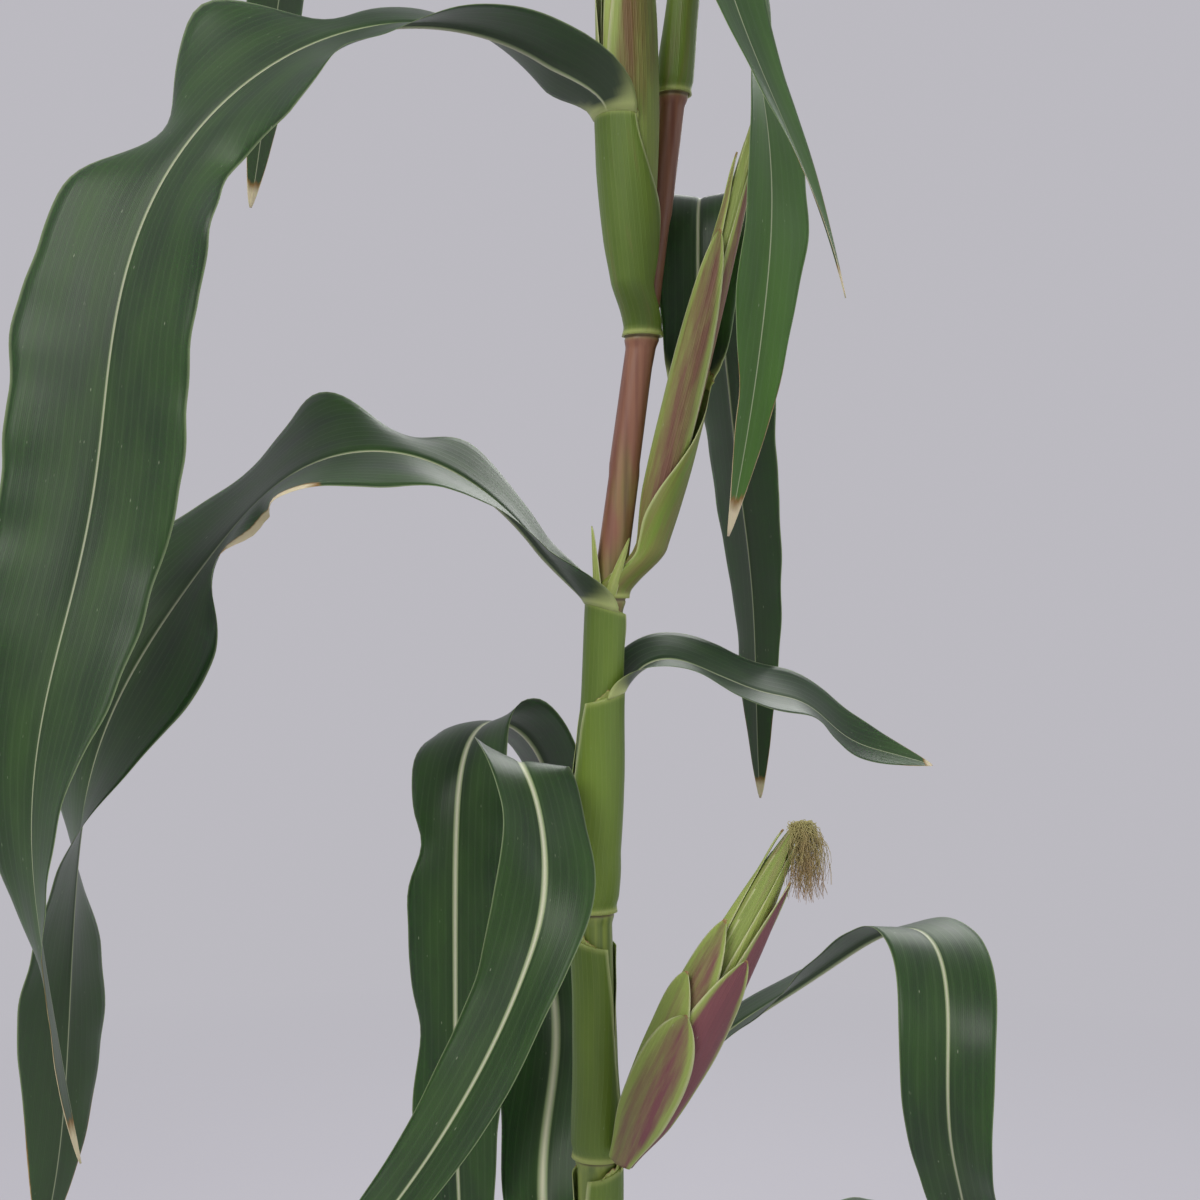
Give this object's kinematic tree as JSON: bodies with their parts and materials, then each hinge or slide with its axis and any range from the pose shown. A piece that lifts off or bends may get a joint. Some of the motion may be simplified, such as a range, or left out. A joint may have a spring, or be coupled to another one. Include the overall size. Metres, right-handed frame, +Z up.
{
  "type": "maize plant",
  "caption": "Whole maize plant at silking: jointed leaning stalk, wrapping sheaths, long arching leaves, husked ears with silk, tassel at the top, flat cut at ground level.",
  "frame": {"origin": "middle of the flat cut under the stalk, at ground level", "axes": "+Z up along the stalk, +X to the right of the picture, +Y away from its camera"},
  "size_m": [0.7409, 0.4725, 2.3095],
  "materials": {
    "stalk": "smooth green stalk with a waxy bloom, reddish brown where it is bare",
    "sheath": "ribbed green leaf sheath",
    "blade": "dark green leaf with fine veins along it and a pale midrib",
    "ear": "pale green wrapped husk",
    "husk": "ribbed green husk leaf, purple on its back",
    "silk": "fine tan threads",
    "tassel": "straw coloured flower spikes"
  },
  "bodies": {
    "root": {"stalk": "stalk", "sheath_01": "sheath", "leaf_01_base": "blade", "leaf_01_end": "blade", "sheath_02": "sheath", "leaf_02_base": "blade", "leaf_02_end": "blade", "sheath_03": "sheath", "leaf_03_base": "blade", "leaf_03_end": "blade", "sheath_04": "sheath", "leaf_04_base": "blade", "leaf_04_end": "blade", "sheath_05": "sheath", "leaf_05_base": "blade", "leaf_05_end": "blade", "sheath_06": "sheath", "leaf_06_base": "blade", "leaf_06_end": "blade", "sheath_07": "sheath", "leaf_07": "blade", "sheath_08": "sheath", "leaf_08_base": "blade", "leaf_08_end": "blade", "sheath_09": "sheath", "leaf_09_base": "blade", "leaf_09_end": "blade", "sheath_10": "sheath", "leaf_10_base": "blade", "leaf_10_end": "blade", "sheath_11": "sheath", "leaf_11_base": "blade", "leaf_11_end": "blade", "sheath_12": "sheath", "leaf_12_base": "blade", "leaf_12_end": "blade", "sheath_13": "sheath", "leaf_13_base": "blade", "leaf_13_end": "blade", "sheath_14": "sheath", "leaf_14_base": "blade", "leaf_14_end": "blade", "sheath_15": "sheath", "leaf_15": "blade", "ear_1": "ear", "ear_1_husk_1": "husk", "ear_1_husk_2": "husk", "ear_1_husk_3": "husk", "ear_1_husk_4": "husk", "ear_2": "ear", "ear_2_husk_1": "husk", "ear_3": "ear", "ear_3_husk_1": "husk", "ear_3_husk_2": "husk", "ear_1_silk": "silk", "ear_3_silk": "silk", "tassel": "tassel"}
  },
  "joints": []
}
